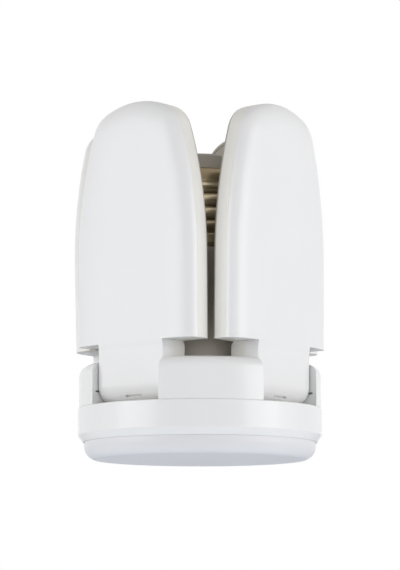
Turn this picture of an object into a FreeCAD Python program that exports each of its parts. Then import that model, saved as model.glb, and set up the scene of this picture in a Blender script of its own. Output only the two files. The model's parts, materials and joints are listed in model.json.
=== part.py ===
import FreeCAD, Part

# Folding LED garage lamp: a round hub with a frosted lens, four leaves that fold up round the
# driver column, and a screw cap on top.  Millimetres.  The origin is the centre of the lens's flat
# underside, +Z runs up to the screw cap, and the leaves stand over the +X, +Y, -X and -Y sides.

import math
import os

from FreeCAD import Vector

# ---- fits ----
RUN_FIT = 0.05            # radial room of a turning pin in its bore
PUSH_FIT = 0.02           # radial room of a pin or screw that is pushed home
SNAP_FIT = 0.10           # room round a part that drops into another
SIDE_GAP = 0.35           # knuckle's side to the hub's cheek

# ---- hub: lens, bezel and housing ----
BEZEL_R = 33.0            # the hub's outside, which sets the sizes of all the rest but the cap
LENS_STEP = 1.7           # how far the lens's side stands inside the bezel's outside
LENS_DROP = 4.5           # how far the lens stands below the bezel
LENS_CORNER = 2.8         # rounding between the lens's side and its flat face
LENS_WALL = 1.4
LENS_FLANGE = 0.6         # how far the lens's skirt stands out over the bezel's ledge
BEZEL_HEIGHT = 9.1
BEZEL_LEDGE = 1.5         # thickness of the ledge that carries the lens
BEZEL_CHAMFER_R = 1.3
BEZEL_CHAMFER_Z = 1.9
FLOOR_THICK = 2.0
WIRE_HOLE_R = 6.5         # hole in the floor for the leads
BLOCK_INSET = 0.2         # the wall blocks stand this far inside the bezel's outside
BLOCK_HEIGHT = 11.3
BLOCK_ROUND = 2.8         # rounding of a block's upper outer edge
CHEEK = 11.45             # a cheek's distance from its leaf's centre plane
PIN_SEAT = 4.2            # depth of the pin's bore in a cheek
SLIT_LONG = 1.9           # the short slit in each cheek
SLIT_HIGH = 0.45
SLIT_DEEP = 0.8
SLIT_REACH = 4.2          # the slit's middle, outwards from the hinge axis

# ---- hinge ----
HINGE_INSET = 8.9         # hinge axis from the bezel's outside
KNUCKLE_R = 4.55
DECK_ROOM = 0.45          # knuckle's underside to the hub's deck
PIN_R = 1.6
WASHER_THICK = 0.25
WASHER_R = 3.6

# ---- leaf: z distances are from the leaf's bottom edge ----
LEAF_REACH = 10.9         # hinge axis to the leaf's bottom edge
LEAF_DEPTH = 8.3          # from the leaf's face to its back
LEAF_LENGTH = 64.7
LEAF_STRAIGHT = 22.5      # the leaf's sides run straight up to here
SIDE_ARC = 115.0          # radii of the outline's arcs, from the side round to the tip
SHOULDER_ARC = 9.0
TIP_ARC = 25.0
LEAF_CORNER_GAP = 0.3     # how much further out a leaf's back stands than its neighbour's side
NECK_STEP = 0.25          # the neck's front lies this far behind the leaf's face
DIFFUSER_DEPTH = 3.7      # leaf's face to the parting line
CROWN_WIDE = 8.1          # the face's crown, in from the leaf's outline
CROWN_POWER = 2.5         # fullness of the crown's curve: 2 is an ellipse
CROWN_STEPS = 8           # sections that the crown is drawn through
BACK_ROUND = 1.0
FOOT_ROUND = 0.9          # bottom corners of the leaf
SHELL_WALL = 1.5
KNUCKLE_ROUND = 0.7
CHANNEL_HALF = 6.6        # half the width of the wire channel in the neck
CHANNEL_WALL = 1.7
NOTCH_WIDE = 8.0          # the shallow notch low on the knuckle
NOTCH_HIGH = 0.8
NOTCH_DEEP = 0.5
NOTCH_ANGLE = 46.0        # how far below level it lies
VENT_HALF = 10.0          # half the length of a vent slot
VENT_R = 0.9
VENT_PITCH = 4.2
VENT_COUNT = 4            # slots between one board screw and the next
LEAF_LEANS = (0.7, 0.2, 2.3, 0.6)   # how far each leaf stands open at rest, in degrees

# ---- boards and light chips ----
BOARD_THICK = 1.0
BOARD_ROOM = 0.6          # leaf board's edge to the shell's inner side
STANDOFF = 0.5            # height of the pads that carry the leaf's board
STANDOFF_R = 2.6
SCREW_FIRST = 5.7         # lowest board screw from the leaf's bottom edge
SCREW_LAST = 12.6         # highest board screw from the leaf's tip
SCREW_COUNT = 3
CHIP_WIDE = 2.8
CHIP_LONG = 3.5
CHIP_HIGH = 0.8
CHIP_SIDE = 7.7           # middle of the outer columns of chips from the leaf's side
CHIP_COLUMNS = (-1.0, -0.5, 0.5, 1.0)   # each column's place, as a share of the outer one's
CHIP_ROWS = 7
CHIP_FIRST = 6.0          # lowest row of chips from the leaf's bottom edge
CHIP_LAST = 13.1          # highest row of chips from the leaf's tip
CHIP_RING_STEPS = (0.0, 6.0, 19.6)  # each ring of chips in from the outermost ring
CHIP_RING_COUNTS = (18, 12, 6)      # chips in each ring
CHIP_EDGE_ROOM = 1.5      # outermost chips to the lens's skirt
HUB_BOARD_THICK = 1.2
BOARD_WIRE_R = 2.0        # wire hole in the round board

# ---- screws ----
SCREW_R = 1.0
SCREW_HEAD_R = 1.9
SCREW_HEAD = 1.2
SCREW_GRIP = 0.9          # how far a leaf's screw goes into its pad
HUB_SCREW_R = 1.5
HUB_SCREW_HEAD_R = 2.7
HUB_SCREW_HEAD = 1.5
HUB_SCREW_COUNT = 3
HUB_SCREW_START = 30.0
HUB_SCREW_BITE = 5.5

# ---- driver column ----
COLUMN_ROOM = 1.55        # column to the knuckles
COLUMN_TOP_R = 14.4
COLUMN_STRAIGHT = 13.0    # height of the column's straight foot
COLUMN_HEIGHT = 42.6
COLUMN_SHOULDER = 2.0
COLUMN_WALL = 1.6
BOSS_R = 2.9
BOSS_STAND = 2.8          # boss's centre from the column's inner wall
BOSS_HEIGHT = 7.5
CAP_SEAT = 0.4            # how far the column's top stands out past the cap
THREAD_ROOM = 0.8         # room for the rolled thread between shell and spigot
SPIGOT_HEIGHT = 11.8
SPIGOT_COLLAR = 3.2       # height of the collar inside the cap's skirt
RAIL_HEIGHT = 30.0
RAIL_THICK = 1.3
RAIL_GRIP = 1.0           # how far the rails reach over the driver's board
DRIVER_THICK = 1.6
DRIVER_ROOM = 0.7         # driver's board to the column's wall
DRIVER_NECK_ROOM = 1.3    # driver's board to the spigot's bore
DRIVER_IN_SPIGOT = 9.8
CAPACITOR_R = 5.0
CAPACITOR_LENGTH = 17.0
CAPACITOR_AT = (-4.2, 12.4)   # across the board, and up from the hub's deck
BOBBIN_R = 4.2
BOBBIN_LENGTH = 9.0
BOBBIN_FLANGE_R = 5.0
BOBBIN_FLANGE = 1.4
BOBBIN_AT = (4.0, 15.4)

# ---- screw cap ----
CAP_R = 13.1
CAP_WALL = 0.6
CAP_STRAIGHT = 18.2
CAP_SHOULDER = 4.0
CAP_ROUND = 1.5
CAP_TAPER = 2.6           # how much the shell narrows to its mouth
INSULATOR_RISE = 4.0
INSULATOR_ROUND = 0.6
PLUG_DEPTH = 4.2
CONTACT_R = 4.8
CONTACT_RISE = 1.5
CONTACT_ROUND = 1.2
RIVET_R = 1.5
RIVET_DEPTH = 6.0

# ---- places worked out from the sizes above ----
BEZEL_Z = LENS_DROP
DECK_Z = BEZEL_Z + BEZEL_HEIGHT
LENS_R = BEZEL_R - LENS_STEP
BEZEL_INNER = LENS_R + LENS_FLANGE + SNAP_FIT
FLOOR_Z = DECK_Z - FLOOR_THICK
HUB_BOARD_Z = FLOOR_Z - HUB_BOARD_THICK
LENS_BORE = LENS_R - LENS_WALL
HINGE_R = BEZEL_R - HINGE_INSET
HINGE_Z = DECK_Z + DECK_ROOM + KNUCKLE_R
NECK_HALF = CHEEK - SIDE_GAP
LEAF_BOTTOM = HINGE_Z + LEAF_REACH
LEAF_FACE = HINGE_R + KNUCKLE_R + NECK_STEP
LEAF_SEAM = LEAF_FACE - DIFFUSER_DEPTH
LEAF_BACK = LEAF_FACE - LEAF_DEPTH
LEAF_HALF = LEAF_BACK - LEAF_CORNER_GAP
LEAF_BOARD_X = LEAF_BACK + SHELL_WALL + STANDOFF
SCREW_PITCH = (LEAF_LENGTH - SCREW_FIRST - SCREW_LAST) / (SCREW_COUNT - 1)
SCREW_ZS = [LEAF_BOTTOM + SCREW_FIRST + i * SCREW_PITCH for i in range(SCREW_COUNT)]
CHIP_PITCH = (LEAF_LENGTH - CHIP_FIRST - CHIP_LAST) / (CHIP_ROWS - 1)
CHIP_YS = [share * (LEAF_HALF - CHIP_SIDE) for share in CHIP_COLUMNS]
COLUMN_R = HINGE_R - KNUCKLE_R - COLUMN_ROOM
COLUMN_BORE = COLUMN_R - COLUMN_WALL
COLUMN_TOP = DECK_Z + COLUMN_HEIGHT
TAPER_FOOT = DECK_Z + COLUMN_STRAIGHT
TAPER_TOP = COLUMN_TOP - COLUMN_SHOULDER
HUB_SCREW_RING = COLUMN_BORE - BOSS_STAND
SPIGOT_R = CAP_R - CAP_WALL - THREAD_ROOM
SPIGOT_BORE = SPIGOT_R - COLUMN_WALL
SPIGOT_TOP = COLUMN_TOP + SPIGOT_HEIGHT
CAP_MOUTH_R = CAP_R - CAP_TAPER
CAP_MOUTH_Z = COLUMN_TOP + CAP_STRAIGHT + CAP_SHOULDER
INSULATOR_TOP = CAP_MOUTH_Z + INSULATOR_RISE
UP = Vector(0, 0, 1)
FAR = 200.0               # past the lamp in every direction
SAME = 1e-6               # two places nearer than this are the same


def put_out(name, *solids):
    """Write one node's solids to parts/name.step."""
    shape = solids[0] if len(solids) == 1 else Part.makeCompound(list(solids))
    shape.exportStep(os.path.join("parts", name + ".step"))


def box(x0, x1, y0, y1, z0, z1):
    return Part.makeBox(x1 - x0, y1 - y0, z1 - z0, Vector(x0, y0, z0))


def rod(radius, start, end):
    start, end = Vector(*start), Vector(*end)
    return Part.makeCylinder(radius, (end - start).Length, start, end - start)


def tube(outer, inner, z0, z1):
    return rod(outer, (0, 0, z0), (0, 0, z1)).cut(rod(inner, (0, 0, z0), (0, 0, z1)))


def ring_places(radius, count, first=0.0):
    """Evenly spaced (x, y, angle) places on a circle about the lamp's axis."""
    angles = [first + 360.0 * i / count for i in range(count)]
    return [(radius * math.cos(math.radians(a)), radius * math.sin(math.radians(a)), a) for a in angles]


def rounded_wire(corners, place):
    """A closed wire through (u, v, radius) corners, each turned with an arc of its radius."""
    pieces, joints = [], []
    for i, (u, v, radius) in enumerate(corners):
        here = Vector(u, v, 0)
        back = (Vector(*corners[i - 1][:2], 0) - here).normalize()
        ahead = (Vector(*corners[(i + 1) % len(corners)][:2], 0) - here).normalize()
        if radius == 0:
            joints.append((here, here))
            continue
        half = back.getAngle(ahead) / 2
        reach = radius / math.tan(half)
        middle = here + (back + ahead).normalize() * (radius / math.sin(half) - radius)
        start, end = here + back * reach, here + ahead * reach
        joints.append((start, end))
        pieces.append(Part.Arc(place(start), place(middle), place(end)).toShape())
    for i, (start, end) in enumerate(joints):
        last = joints[i - 1][1]
        if last.distanceToPoint(start) > SAME:
            pieces.append(Part.makeLine(place(last), place(start)))
    return Part.Wire(Part.__sortEdges__(pieces))


def turned(corners):
    """A solid of revolution about the lamp's axis from (r, z, rounding) corners."""
    wire = rounded_wire(corners, lambda p: Vector(p.x, 0, p.y))
    return Part.Face(wire).revolve(Vector(), UP, 360)


def circles_meet(c0, r0, c1, r1):
    """The upper point where two circles in the leaf's plane cross."""
    gap = math.dist(c0, c1)
    along = (r0 * r0 - r1 * r1 + gap * gap) / (2 * gap)
    off = math.sqrt(r0 * r0 - along * along)
    dy, dz = (c1[0] - c0[0]) / gap, (c1[1] - c0[1]) / gap
    points = [(c0[0] + along * dy + s * off * dz, c0[1] + along * dz - s * off * dy) for s in (1, -1)]
    return max(points, key=lambda point: point[1])


# ---------------------------------------------------------------- hub

def lens_cover():
    """The frosted cover: a shallow cup whose skirt rests on the bezel's ledge."""
    skirt_r = LENS_R + LENS_FLANGE
    ledge_z = BEZEL_Z + BEZEL_LEDGE
    rim_z = HUB_BOARD_Z - SNAP_FIT
    return turned([(0, 0, 0), (LENS_R, 0, LENS_CORNER), (LENS_R, ledge_z, 0), (skirt_r, ledge_z, 0),
                   (skirt_r, rim_z, 0), (LENS_BORE, rim_z, 0),
                   (LENS_BORE, LENS_WALL, LENS_CORNER - LENS_WALL), (0, LENS_WALL, 0)])


def lens_bezel():
    """The ring round the hub, with a chamfered foot and a ledge for the lens."""
    ledge_r = LENS_R + SNAP_FIT
    ledge_z = BEZEL_Z + BEZEL_LEDGE
    return turned([(ledge_r, BEZEL_Z, 0), (BEZEL_R - BEZEL_CHAMFER_R, BEZEL_Z, 0),
                   (BEZEL_R, BEZEL_Z + BEZEL_CHAMFER_Z, 0), (BEZEL_R, DECK_Z, 0),
                   (BEZEL_INNER, DECK_Z, 0), (BEZEL_INNER, ledge_z, 0), (ledge_r, ledge_z, 0)])


def quadrant_blocks(ring):
    """The four pieces of a ring that stand between the leaves' cheeks."""
    blocks = []
    for sx, sy in ((1, 1), (-1, 1), (-1, -1), (1, -1)):
        xs, ys = sorted((sx * CHEEK, sx * FAR)), sorted((sy * CHEEK, sy * FAR))
        blocks.append(ring.common(box(*xs, *ys, 0, FAR)))
    return blocks


def hinge_rods(radius):
    """One rod along each leaf's hinge axis, as long as the bores in both cheeks allow."""
    reach = CHEEK + PIN_SEAT
    return [on_side(k, rod(radius, (HINGE_R, -reach, HINGE_Z), (HINGE_R, reach, HINGE_Z))) for k in range(4)]


def cheek_slits():
    """The short slit in each cheek, level with the hinge axis."""
    x0, x1 = HINGE_R + SLIT_REACH - SLIT_LONG / 2, HINGE_R + SLIT_REACH + SLIT_LONG / 2
    z0, z1 = HINGE_Z - SLIT_HIGH / 2, HINGE_Z + SLIT_HIGH / 2
    slits = []
    for k in range(4):
        for side in (1, -1):
            y0, y1 = sorted((side * CHEEK, side * (CHEEK + SLIT_DEEP)))
            slits.append(on_side(k, box(x0, x1, y0, y1, z0, z1)))
    return slits


def hub_screw_rods(radius, bottom, top):
    """An upright rod at each hub screw's place."""
    return [rod(radius, (x, y, bottom), (x, y, top))
            for x, y, angle in ring_places(HUB_SCREW_RING, HUB_SCREW_COUNT, HUB_SCREW_START)]


def hub_housing():
    """The moulded floor with the four wall blocks that hold the hinge pins."""
    floor = tube(BEZEL_INNER - SNAP_FIT, WIRE_HOLE_R, FLOOR_Z, DECK_Z)
    block_r = BEZEL_R - BLOCK_INSET
    top = DECK_Z + BLOCK_HEIGHT
    foot = COLUMN_R + SNAP_FIT
    ring = turned([(foot, DECK_Z, 0), (block_r, DECK_Z, 0), (block_r, top, BLOCK_ROUND), (foot, top, 0)])
    housing = floor.multiFuse(quadrant_blocks(ring))
    holes = hub_screw_rods(HUB_SCREW_R + RUN_FIT, FLOOR_Z, DECK_Z)
    return housing.cut(hinge_rods(PIN_R + PUSH_FIT) + cheek_slits() + holes).removeSplitter()


def hub_screws():
    """Screws that draw the board and the floor up against the driver column."""
    shanks = hub_screw_rods(HUB_SCREW_R, HUB_BOARD_Z, DECK_Z + HUB_SCREW_BITE)
    heads = hub_screw_rods(HUB_SCREW_HEAD_R, HUB_BOARD_Z - HUB_SCREW_HEAD, HUB_BOARD_Z)
    return [shank.fuse(head).removeSplitter() for shank, head in zip(shanks, heads)]


def centre_led_board():
    """The round board under the floor, with a wire hole and holes for the screws."""
    board = tube(BEZEL_INNER - SNAP_FIT, BOARD_WIRE_R, HUB_BOARD_Z, FLOOR_Z)
    return board.cut(hub_screw_rods(HUB_SCREW_R + RUN_FIT, HUB_BOARD_Z, FLOOR_Z))


def centre_leds():
    """Rings of light chips under the round board."""
    outermost = LENS_BORE - CHIP_EDGE_ROOM - CHIP_LONG / 2
    chips = []
    for step, count in zip(CHIP_RING_STEPS, CHIP_RING_COUNTS):
        for x, y, angle in ring_places(outermost - step, count):
            chip = box(-CHIP_LONG / 2, CHIP_LONG / 2, -CHIP_WIDE / 2, CHIP_WIDE / 2,
                       HUB_BOARD_Z - CHIP_HIGH, HUB_BOARD_Z)
            chip.rotate(Vector(), UP, angle)
            chips.append(chip.translated(Vector(x, y, 0)))
    return chips


# ---------------------------------------------------------------- driver column and cap

def column_radius(z):
    """The column's outer radius at height z: a straight foot, then a taper."""
    if z <= TAPER_FOOT:
        return COLUMN_R
    return COLUMN_R + (COLUMN_TOP_R - COLUMN_R) * (z - TAPER_FOOT) / (TAPER_TOP - TAPER_FOOT)


def column_inside(wall, top):
    """The column's tapered outside moved in by wall, up to top."""
    return turned([(0, DECK_Z, 0), (COLUMN_R - wall, DECK_Z, 0), (COLUMN_R - wall, TAPER_FOOT, 0),
                   (column_radius(top) - wall, top, 0), (0, top, 0)])


def driver_board_half():
    """Half the width of the driver's board where it stands in the rails."""
    return column_radius(DECK_Z + RAIL_HEIGHT) - COLUMN_WALL - DRIVER_ROOM


def rails():
    """Two pairs of upright rails that hold the driver's board by its edges."""
    near = DRIVER_THICK / 2 + SNAP_FIT
    inner = driver_board_half() - RAIL_GRIP
    pairs = []
    for side in (1, -1):
        for face in (1, -1):
            x0, x1 = sorted((side * inner, side * COLUMN_R))
            y0, y1 = sorted((face * near, face * (near + RAIL_THICK)))
            pairs.append(box(x0, x1, y0, y1, DECK_Z, DECK_Z + RAIL_HEIGHT))
    return pairs


def driver_housing():
    """The hollow column, with screw bosses, rails for the driver's board and the cap's spigot."""
    ceiling = TAPER_TOP - COLUMN_WALL
    collar_r = CAP_R - CAP_WALL - RUN_FIT
    collar_z = COLUMN_TOP + SPIGOT_COLLAR
    outside = turned([(0, DECK_Z, 0), (COLUMN_R, DECK_Z, 0), (COLUMN_R, TAPER_FOOT, 0),
                      (COLUMN_TOP_R, TAPER_TOP, 0), (CAP_R + CAP_SEAT, COLUMN_TOP, 0),
                      (collar_r, COLUMN_TOP, 0), (collar_r, collar_z, 0), (SPIGOT_R, collar_z, 0),
                      (SPIGOT_R, SPIGOT_TOP, 0), (0, SPIGOT_TOP, 0)])
    hollow = column_inside(COLUMN_WALL, ceiling)
    bore = rod(SPIGOT_BORE, (0, 0, ceiling), (0, 0, SPIGOT_TOP))
    bosses = hub_screw_rods(BOSS_R, DECK_Z, DECK_Z + BOSS_HEIGHT)
    fittings = Part.makeCompound(bosses + rails()).common(column_inside(COLUMN_WALL / 2, ceiling))
    column = outside.cut([hollow, bore]).fuse(fittings)
    pilots = hub_screw_rods(HUB_SCREW_R + PUSH_FIT, DECK_Z, DECK_Z + HUB_SCREW_BITE + SNAP_FIT)
    return column.cut(pilots).removeSplitter()


def driver_board():
    """The power board that stands in the column's rails and reaches up into the cap."""
    wide, narrow = driver_board_half(), SPIGOT_BORE - DRIVER_NECK_ROOM
    step, top = DECK_Z + RAIL_HEIGHT, COLUMN_TOP + DRIVER_IN_SPIGOT
    right = [(wide, DECK_Z), (wide, step), (narrow, step), (narrow, top)]
    points = [Vector(x, -DRIVER_THICK / 2, z) for x, z in right + [(-x, z) for x, z in reversed(right)]]
    return Part.Face(Part.makePolygon(points + points[:1])).extrude(Vector(0, DRIVER_THICK, 0))


def driver_capacitor():
    """The smoothing capacitor, a can that lies along the board."""
    x, z = CAPACITOR_AT[0], DECK_Z + CAPACITOR_AT[1]
    y = DRIVER_THICK / 2 + CAPACITOR_R + SNAP_FIT
    return rod(CAPACITOR_R, (x, y, z), (x, y, z + CAPACITOR_LENGTH))


def driver_inductor():
    """A wound bobbin on the board's other side: two flanges and the winding between them."""
    x, z = BOBBIN_AT[0], DECK_Z + BOBBIN_AT[1]
    y = -(DRIVER_THICK / 2 + BOBBIN_FLANGE_R + SNAP_FIT)
    winding = rod(BOBBIN_R, (x, y, z), (x, y, z + BOBBIN_LENGTH))
    lows = (z, z + BOBBIN_LENGTH - BOBBIN_FLANGE)
    flanges = [rod(BOBBIN_FLANGE_R, (x, y, low), (x, y, low + BOBBIN_FLANGE)) for low in lows]
    return winding.multiFuse(flanges).removeSplitter()


def cap_shell():
    """The metal screw shell, without its thread: it drops over the spigot's collar."""
    straight = COLUMN_TOP + CAP_STRAIGHT
    bore = CAP_R - CAP_WALL
    return turned([(bore, COLUMN_TOP, 0), (CAP_R, COLUMN_TOP, 0), (CAP_R, straight, CAP_ROUND),
                   (CAP_MOUTH_R, CAP_MOUTH_Z, 0), (CAP_MOUTH_R - CAP_WALL, CAP_MOUTH_Z, 0),
                   (bore, straight, CAP_ROUND)])


def cap_insulator():
    """The insulating plug that carries the end contact."""
    plug_r = CAP_MOUTH_R - CAP_WALL - PUSH_FIT
    plug_z = CAP_MOUTH_Z - PLUG_DEPTH
    hole_r = RIVET_R + PUSH_FIT
    return turned([(hole_r, plug_z, 0), (plug_r, plug_z, 0), (plug_r, CAP_MOUTH_Z, 0),
                   (CAP_MOUTH_R, CAP_MOUTH_Z, 0), (CAP_MOUTH_R, INSULATOR_TOP, INSULATOR_ROUND),
                   (hole_r, INSULATOR_TOP, 0)])


def cap_contact():
    """The domed end contact and its rivet."""
    foot, top = INSULATOR_TOP - RIVET_DEPTH, INSULATOR_TOP + CONTACT_RISE
    return turned([(0, foot, 0), (RIVET_R, foot, 0), (RIVET_R, INSULATOR_TOP, 0),
                   (CONTACT_R, INSULATOR_TOP, 0), (CONTACT_R, top, CONTACT_ROUND), (0, top, 0)])


# ---------------------------------------------------------------- hinges and leaves

def on_side(k, shape):
    """Turn a shape built over +X to the lamp's side k."""
    placed = shape.copy()
    placed.rotate(Vector(), UP, 90.0 * k)
    return placed


def as_leaf(k, shape):
    """Lean a leaf's piece out about its hinge, then turn it to its side."""
    leant = shape.copy()
    leant.rotate(Vector(HINGE_R, 0, HINGE_Z), Vector(0, 1, 0), LEAF_LEANS[k])
    return on_side(k, leant)


def friction_washers():
    """Thin washers on the pins, against the cheeks, that make the hinges stiff."""
    washers = []
    for k in range(4):
        for side in (1, -1):
            ends = [(HINGE_R, side * y, HINGE_Z) for y in (CHEEK - WASHER_THICK, CHEEK)]
            washers.append(on_side(k, rod(WASHER_R, *ends).cut(rod(PIN_R + PUSH_FIT, *ends))))
    return washers


def leaf_outline(x, inset, foot):
    """The leaf's outline in the plane at x: a flat foot, bowed sides and a round tip."""
    straight = LEAF_BOTTOM + LEAF_STRAIGHT
    side_c = (LEAF_HALF - SIDE_ARC, straight)
    tip_c = (0.0, LEAF_BOTTOM + LEAF_LENGTH - TIP_ARC)
    shoulder_c = circles_meet(side_c, SIDE_ARC - SHOULDER_ARC, tip_c, TIP_ARC - SHOULDER_ARC)
    low = math.atan2(shoulder_c[1] - side_c[1], shoulder_c[0] - side_c[0])
    high = math.atan2(shoulder_c[1] - tip_c[1], shoulder_c[0] - tip_c[0])

    def arc(centre, radius, angles, sign):
        points = [Vector(x, sign * (centre[0] + radius * math.cos(a)), centre[1] + radius * math.sin(a))
                  for a in angles]
        return Part.Arc(*points).toShape()

    half = LEAF_HALF - inset
    edges = [Part.makeLine(Vector(x, -half, foot), Vector(x, half, foot))]
    for sign in (1, -1):
        edges.append(Part.makeLine(Vector(x, sign * half, foot), Vector(x, sign * half, straight)))
        edges.append(arc(side_c, SIDE_ARC - inset, (0, low / 2, low), sign))
        edges.append(arc(shoulder_c, SHOULDER_ARC - inset, (low, (low + high) / 2, high), sign))
    edges.append(arc(tip_c, TIP_ARC - inset, (high, math.pi / 2, math.pi - high), 1))
    return Part.Wire(Part.__sortEdges__(edges))


def leaf_slab(x0, x1, inset, foot, rounding=0.0, round_x=None):
    """The leaf's outline between two planes, one face's side edges rounded, cut off level at foot."""
    below = foot - SHOULDER_ARC
    slab = Part.Face(leaf_outline(x0, inset, below)).extrude(Vector(x1 - x0, 0, 0))
    if rounding:
        rim = [e for e in slab.Edges if all(abs(v.X - round_x) < SAME for v in e.Vertexes)
               and max(v.Z for v in e.Vertexes) > foot]
        slab = slab.makeFillet(rounding, rim)
    return slab.common(box(-FAR, FAR, -FAR, FAR, foot, FAR))


def crowned_slab(x1, inset, wide, foot):
    """The leaf's outline from the parting line to a face at x1, falling off all round in a crown."""
    sections = []
    for i in range(CROWN_STEPS + 1):
        turn = math.pi / 2 * i / CROWN_STEPS
        x = LEAF_SEAM + (x1 - LEAF_SEAM) * math.sin(turn) ** (2 / CROWN_POWER)
        drawn_in = wide * (1 - math.cos(turn) ** (2 / CROWN_POWER))
        sections.append(leaf_outline(x, inset + drawn_in, foot - SHOULDER_ARC))
    return Part.makeLoft(sections, True, True).common(box(-FAR, FAR, -FAR, FAR, foot, FAR))


def round_feet(slab):
    """Round the two bottom corners of a leaf half, as seen from the front."""
    block = box(0, FAR, -LEAF_HALF, LEAF_HALF, LEAF_BOTTOM, FAR)
    feet = [e for e in block.Edges if all(abs(v.Z - LEAF_BOTTOM) < SAME for v in e.Vertexes)
            and abs(e.Vertexes[0].Y - e.Vertexes[-1].Y) < SAME]
    return slab.common(block.makeFillet(FOOT_ROUND, feet))


def neck(x0, x1):
    """The part of the neck and its knuckle that lies between two planes."""
    front, back = HINGE_R + KNUCKLE_R, HINGE_R - KNUCKLE_R

    def point(x, z):
        return Vector(x, -NECK_HALF, z)

    arc = Part.Arc(point(front, HINGE_Z), point(HINGE_R, HINGE_Z - KNUCKLE_R), point(back, HINGE_Z)).toShape()
    corners = [(back, HINGE_Z), (back, LEAF_BOTTOM), (front, LEAF_BOTTOM), (front, HINGE_Z)]
    lines = [Part.makeLine(point(*a), point(*b)) for a, b in zip(corners, corners[1:])]
    solid = Part.Face(Part.Wire(Part.__sortEdges__([arc] + lines))).extrude(Vector(0, 2 * NECK_HALF, 0))
    sides = [e for e in solid.Edges if abs(e.Vertexes[0].Y - e.Vertexes[-1].Y) < SAME
             and min(v.Z for v in e.Vertexes) < LEAF_BOTTOM - SAME]
    return solid.makeFillet(KNUCKLE_ROUND, sides).common(box(x0, x1, -FAR, FAR, 0, FAR))


def neck_hollow():
    """The wire channel down the neck and the bore for the hinge pin."""
    x0, x1 = HINGE_R - KNUCKLE_R + CHANNEL_WALL, HINGE_R + KNUCKLE_R - CHANNEL_WALL
    channel = box(x0, x1, -CHANNEL_HALF, CHANNEL_HALF, HINGE_Z - PIN_R, LEAF_BOTTOM + 2 * SHELL_WALL)
    bore = rod(PIN_R + RUN_FIT, (HINGE_R, -CHEEK, HINGE_Z), (HINGE_R, CHEEK, HINGE_Z))
    return [channel, bore]


def knuckle_notch():
    """The shallow notch low on the knuckle's front."""
    notch = box(KNUCKLE_R - NOTCH_DEEP, KNUCKLE_R + NOTCH_DEEP, -NOTCH_WIDE / 2, NOTCH_WIDE / 2,
                -NOTCH_HIGH / 2, NOTCH_HIGH / 2)
    notch.rotate(Vector(), Vector(0, 1, 0), NOTCH_ANGLE)
    return notch.translated(Vector(HINGE_R, 0, HINGE_Z))


def leaf_diffuser():
    """The frosted front half of a leaf, with the front half of its neck."""
    outside = round_feet(crowned_slab(LEAF_FACE, 0, CROWN_WIDE, LEAF_BOTTOM))
    hollow = crowned_slab(LEAF_FACE - SHELL_WALL, SHELL_WALL, CROWN_WIDE - SHELL_WALL,
                          LEAF_BOTTOM + SHELL_WALL)
    half = outside.fuse(neck(HINGE_R, FAR))
    return half.cut([hollow, knuckle_notch()] + neck_hollow()).removeSplitter()


def vent_slots():
    """Round-ended slots through the leaf's back, in a bank between each two board screws."""
    x0, x1 = LEAF_BACK - SHELL_WALL, LEAF_BACK + 2 * SHELL_WALL
    slots = []
    for low, high in zip(SCREW_ZS, SCREW_ZS[1:]):
        first = (low + high - VENT_PITCH * (VENT_COUNT - 1)) / 2
        for i in range(VENT_COUNT):
            z = first + i * VENT_PITCH
            ends = [rod(VENT_R, (x0, y, z), (x1, y, z)) for y in (-VENT_HALF, VENT_HALF)]
            middle = box(x0, x1, -VENT_HALF, VENT_HALF, z - VENT_R, z + VENT_R)
            slots.append(middle.multiFuse(ends).removeSplitter())
    return slots


def screw_rods(radius, x0, x1):
    """A rod across the leaf at each board screw's place."""
    return [rod(radius, (x0, 0, z), (x1, 0, z)) for z in SCREW_ZS]


def leaf_back_shell():
    """The back half of a leaf, with vents, pads for the board and the back half of its neck."""
    floor = LEAF_BACK + SHELL_WALL
    outside = round_feet(leaf_slab(LEAF_BACK, LEAF_SEAM, 0, LEAF_BOTTOM, BACK_ROUND, LEAF_BACK))
    hollow = leaf_slab(floor, LEAF_SEAM, SHELL_WALL, LEAF_BOTTOM + SHELL_WALL)
    half = outside.fuse(neck(0, HINGE_R)).cut([hollow] + neck_hollow() + vent_slots())
    pads = screw_rods(STANDOFF_R, floor - SHELL_WALL / 2, LEAF_BOARD_X)
    pilots = screw_rods(SCREW_R + PUSH_FIT, LEAF_BOARD_X - SCREW_GRIP - SNAP_FIT, LEAF_BOARD_X)
    return half.multiFuse(pads).cut(pilots).removeSplitter()


def leaf_led_board():
    """The board that stands on the back shell's pads."""
    inset = SHELL_WALL + BOARD_ROOM
    board = leaf_slab(LEAF_BOARD_X, LEAF_BOARD_X + BOARD_THICK, inset, LEAF_BOTTOM + inset)
    return board.cut(screw_rods(SCREW_R + RUN_FIT, LEAF_BOARD_X, LEAF_BOARD_X + BOARD_THICK))


def leaf_leds():
    """Columns of light chips on the leaf's board."""
    x = LEAF_BOARD_X + BOARD_THICK
    chips = []
    for row in range(CHIP_ROWS):
        low = LEAF_BOTTOM + CHIP_FIRST + row * CHIP_PITCH - CHIP_LONG / 2
        chips += [box(x, x + CHIP_HIGH, y - CHIP_WIDE / 2, y + CHIP_WIDE / 2, low, low + CHIP_LONG)
                  for y in CHIP_YS]
    return chips


def leaf_screws():
    """Pan-head screws that hold the board on its pads."""
    face = LEAF_BOARD_X + BOARD_THICK
    shanks = screw_rods(SCREW_R, LEAF_BOARD_X - SCREW_GRIP, face)
    heads = screw_rods(SCREW_HEAD_R, face, face + SCREW_HEAD)
    return [shank.fuse(head).removeSplitter() for shank, head in zip(shanks, heads)]


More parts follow.
